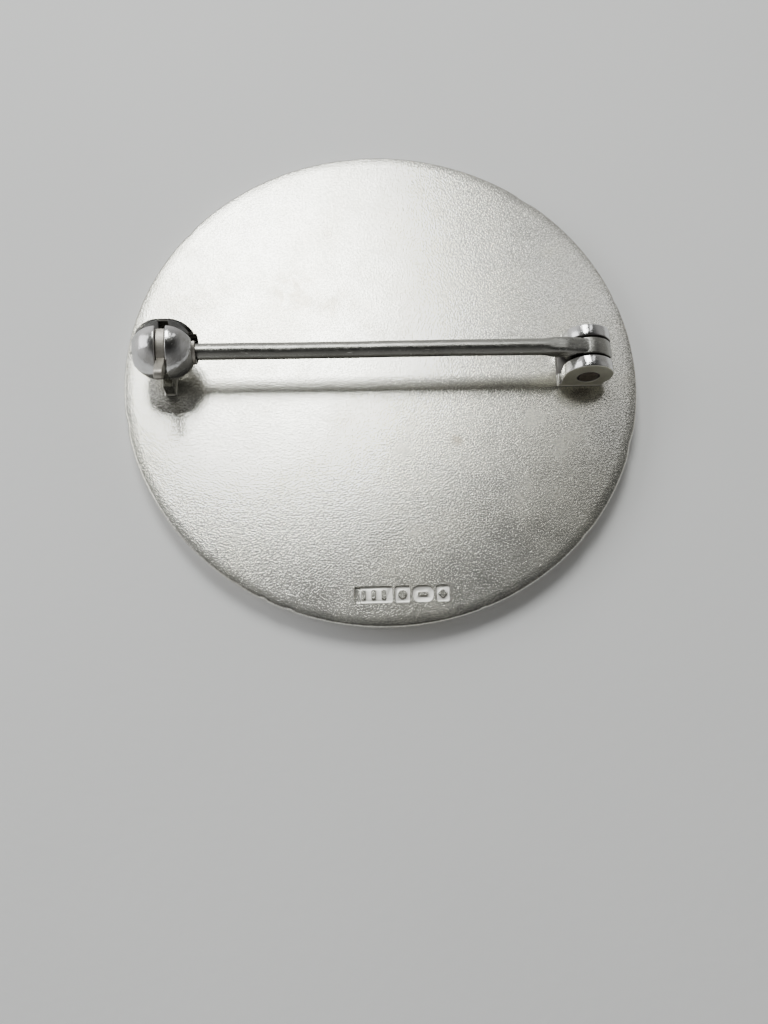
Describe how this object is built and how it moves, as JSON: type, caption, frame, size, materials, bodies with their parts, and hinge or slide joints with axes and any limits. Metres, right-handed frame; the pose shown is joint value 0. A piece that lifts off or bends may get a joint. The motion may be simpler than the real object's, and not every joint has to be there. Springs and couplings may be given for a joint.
{
  "type": "enamel brooch pin",
  "caption": "Round silver brooch with an enamelled front, and a hinged pin stem held by a ball catch with a turning lever on its back.",
  "frame": {"origin": "middle of the plate, in the plane of its front rim, which is the lowest plane", "axes": "+Z out of the back face, +X from the catch to the hinge, +Y across the pin line on the side that the catch's mouth faces"},
  "size_m": [0.038, 0.038, 0.0072],
  "materials": {
    "silver_back": "sandblasted silver, fine matte grain, lightly toned",
    "polished_silver": "polished silver with light scuffs",
    "stem_steel": "drawn nickel silver wire, satin along its length",
    "rivet_metal": "filed flush, warm tone",
    "catch_grey": "matte warm grey metal",
    "enamel_red": "glossy vitreous enamel",
    "enamel_blue": "glossy vitreous enamel",
    "enamel_ivory": "glossy vitreous enamel",
    "enamel_teal": "glossy vitreous enamel"
  },
  "bodies": {
    "brooch": {"plate": "silver_back", "enamel_centre": "enamel_red", "enamel_border": "enamel_blue", "enamel_petal_1": "enamel_ivory", "enamel_petal_2": "enamel_ivory", "enamel_petal_3": "enamel_ivory", "enamel_petal_4": "enamel_ivory", "enamel_petal_5": "enamel_ivory", "enamel_petal_6": "enamel_ivory", "enamel_petal_7": "enamel_ivory", "enamel_petal_8": "enamel_ivory", "enamel_field_1": "enamel_teal", "enamel_field_2": "enamel_teal", "enamel_field_3": "enamel_teal", "enamel_field_4": "enamel_teal", "enamel_field_5": "enamel_teal", "enamel_field_6": "enamel_teal", "enamel_field_7": "enamel_teal", "enamel_field_8": "enamel_teal", "hinge_joint": "polished_silver", "catch_foot": "polished_silver", "ball_half_outer": "polished_silver", "ball_half_inner": "polished_silver"},
    "rivet": {"rivet": "rivet_metal"},
    "stem": {"stem": "stem_steel"},
    "lever": {"catch_sleeve": "catch_grey", "catch_lever": "catch_grey"}
  },
  "joints": [
    {"name": "stem_swing", "type": "hinge", "parent": "brooch", "child": "rivet", "pos_m": [0.015, 0.0005, 0.00315], "axis": [0, 1, 0], "range_deg": [0, 58]},
    {"name": "stem_spring", "type": "hinge", "parent": "rivet", "child": "stem", "pos_m": [0.015, 0.0005, 0.00315], "axis": [0, 0.7547, -0.6561], "range_deg": [0, 6], "stiffness_Nm_per_rad": 0.002},
    {"name": "catch_turn", "type": "hinge", "parent": "brooch", "child": "lever", "pos_m": [-0.0155, 0.00066, 0.00503], "axis": [-1, 0, 0], "range_deg": [0, 75]}
  ]
}
